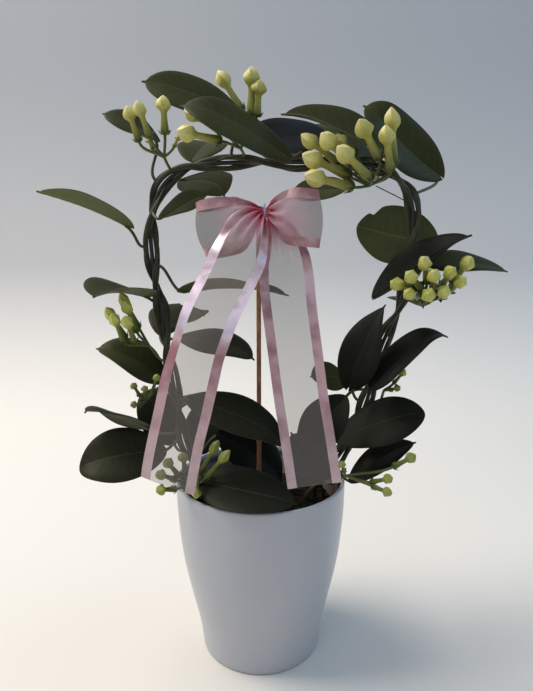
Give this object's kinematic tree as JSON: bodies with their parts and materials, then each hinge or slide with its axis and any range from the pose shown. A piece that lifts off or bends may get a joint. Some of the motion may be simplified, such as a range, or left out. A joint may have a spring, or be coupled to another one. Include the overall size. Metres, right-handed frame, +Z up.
{
  "type": "potted stephanotis",
  "caption": "Potted stephanotis trained round a wire hoop, with waxy leaves, clusters of closed buds, a sheer ribbon bow on a stick and a white cover pot.",
  "frame": {"origin": "on the surface that the pot stands on, under the middle of the pot's flat foot", "axes": "+Z up, -Y towards the viewer of the bow, +X to that viewer's right"},
  "size_m": [0.3252, 0.1391, 0.441],
  "materials": {
    "pot_glaze": "satin white glaze",
    "grower_plastic": "thin terracotta-brown plastic",
    "soil": "dark damp potting soil",
    "hoop_wire": "dark green coated wire",
    "stick_wood": "plain bamboo",
    "vine_bark": "dark green-brown young bark",
    "leaf_green": "waxy dark green upper side",
    "leaf_under": "dull olive underside",
    "bud_green": "waxy yellow-green bud",
    "calyx_green": "green stalks and sepals",
    "ribbon_satin": "shiny pink satin band",
    "ribbon_sheer": "sheer pale pink organza",
    "tie_blue": "pale blue coated wire"
  },
  "bodies": {
    "root": {"bow_knot": "ribbon_satin", "bow_loop_left": "ribbon_sheer", "bow_loop_right": "ribbon_sheer", "bow_tail_left": "ribbon_sheer", "bow_tail_right": "ribbon_sheer", "bow_tie_wire": "tie_blue", "buds_bottom_left": "bud_green", "buds_bottom_right": "bud_green", "buds_left": "bud_green", "buds_left_low": "bud_green", "buds_right": "bud_green", "buds_right_low": "bud_green", "buds_top_left": "bud_green", "buds_top_middle": "bud_green", "buds_top_right": "bud_green", "grower_pot": "grower_plastic", "hoop": "hoop_wire", "leaf_back_left": "leaf_green", "leaf_back_low_left": "leaf_green", "leaf_back_low_right": "leaf_green", "leaf_back_right": "leaf_green", "leaf_back_top": "leaf_green", "leaf_behind_bar": "leaf_green", "leaf_behind_stick": "leaf_green", "leaf_behind_tail": "leaf_green", "leaf_centre": "leaf_green", "leaf_centre_back": "leaf_green", "leaf_corner_back": "leaf_green", "leaf_corner_upright": "leaf_green", "leaf_far_left": "leaf_green", "leaf_far_right": "leaf_green", "leaf_front": "leaf_green", "leaf_inner": "leaf_green", "leaf_inner_left": "leaf_green", "leaf_inner_small": "leaf_green", "leaf_left_bottom": "leaf_green", "leaf_left_corner": "leaf_green", "leaf_left_level": "leaf_green", "leaf_left_lower": "leaf_green", "leaf_left_side": "leaf_green", "leaf_left_small": "leaf_green", "leaf_outer_left": "leaf_green", "leaf_right_bottom": "leaf_green", "leaf_right_dark": "leaf_green", "leaf_right_face": "leaf_green", "leaf_right_hanging": "leaf_green", "leaf_right_lower": "leaf_green", "leaf_right_middle": "leaf_green", "leaf_right_under": "leaf_green", "leaf_right_upright": "leaf_green", "leaf_top_corner": "leaf_green", "leaf_top_left": "leaf_green", "leaf_top_middle": "leaf_green", "leaf_top_right": "leaf_green", "leaf_under_buds": "leaf_green", "pot": "pot_glaze", "soil": "soil", "stick": "stick_wood", "vine_left": "vine_bark", "vine_right": "vine_bark"}
  },
  "joints": []
}
